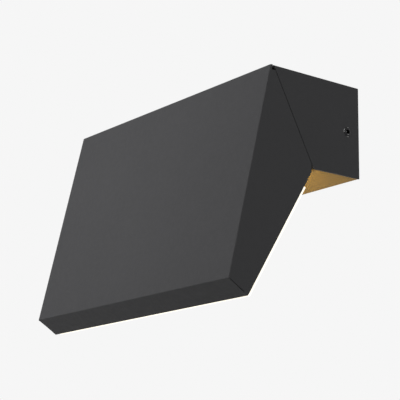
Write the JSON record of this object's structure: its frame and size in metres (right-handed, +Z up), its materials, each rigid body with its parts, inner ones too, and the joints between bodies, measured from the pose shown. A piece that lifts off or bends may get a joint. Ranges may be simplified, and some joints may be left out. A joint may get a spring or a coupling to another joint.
{
  "type": "outdoor wall light",
  "caption": "Outdoor wall light: an anthracite wall box with a slanted front, and a folded hood that tilts on it and throws light back onto the wall.",
  "frame": {"origin": "middle of the two wall screw slots, on the wall's surface", "axes": "+Y into the wall, -Y out to the front, +X to the right seen from the front, +Z up"},
  "size_m": [0.2818, 0.139, 0.1928],
  "materials": {
    "box_paint": "fine textured anthracite powder coat",
    "hood_paint": "fine textured anthracite powder coat",
    "gold_finish": "satin gold anodised",
    "zinc_steel": "zinc plated sheet",
    "black_zinc": "black zinc plated",
    "black_steel": "black oxide",
    "bright_steel": "bright zinc",
    "brass_parts": "plain brass",
    "foam": "closed-cell foam",
    "black_rubber": "matt moulded rubber",
    "driver_case": "matt moulded plastic",
    "terminal_case": "moulded nylon",
    "connector_case": "moulded plastic",
    "earth_sheath": "wire insulation",
    "live_sheath": "wire insulation",
    "neutral_sheath": "wire insulation",
    "lead_sheath": "round silicone lead",
    "washer_nylon": "plain nylon",
    "arm_aluminium": "black anodised",
    "tray_white": "white powder coat",
    "board_white": "white solder mask",
    "led_phosphor": "yellow phosphor",
    "silicone": "clear grey silicone",
    "opal": "opal acrylic, lit from inside"
  },
  "bodies": {
    "wall_box": {"wall_bracket": "zinc_steel", "wall_gasket": "foam", "box_shell": "box_paint", "underside_plate": "gold_finish", "underside_nuts": "bright_steel", "side_screws": "black_steel", "cable_grommet": "black_rubber", "led_driver": "driver_case", "terminal_block": "terminal_case", "terminal_screws": "brass_parts", "control_screws": "bright_steel", "earth_screw": "brass_parts", "earth_lug": "brass_parts", "earth_wire": "earth_sheath", "live_wire": "live_sheath", "neutral_wire": "neutral_sheath", "hinge_brackets": "black_zinc", "hinge_rivets": "black_zinc", "hinge_pins": "black_zinc", "pin_clips": "black_zinc", "friction_washers": "washer_nylon", "lead_grommet": "black_rubber", "driver_lead": "lead_sheath", "bump_pads": "black_rubber"},
    "hood": {"hood_shell": "hood_paint", "hinge_arms": "arm_aluminium", "arm_nuts": "bright_steel", "light_tray": "tray_white", "tray_rivets": "bright_steel", "apron": "hood_paint", "apron_screws": "bright_steel", "led_board": "board_white", "led_chips": "led_phosphor", "board_connector": "connector_case", "tray_grommet": "black_rubber", "hood_lead": "lead_sheath", "diffuser_seal": "silicone", "diffuser": "opal"}
  },
  "joints": [
    {"name": "hood_tilt", "type": "hinge", "parent": "wall_box", "child": "hood", "pos_m": [0, -0.0914, 0.0368], "axis": [-1, 0, 0], "range_deg": [0, 60]}
  ]
}
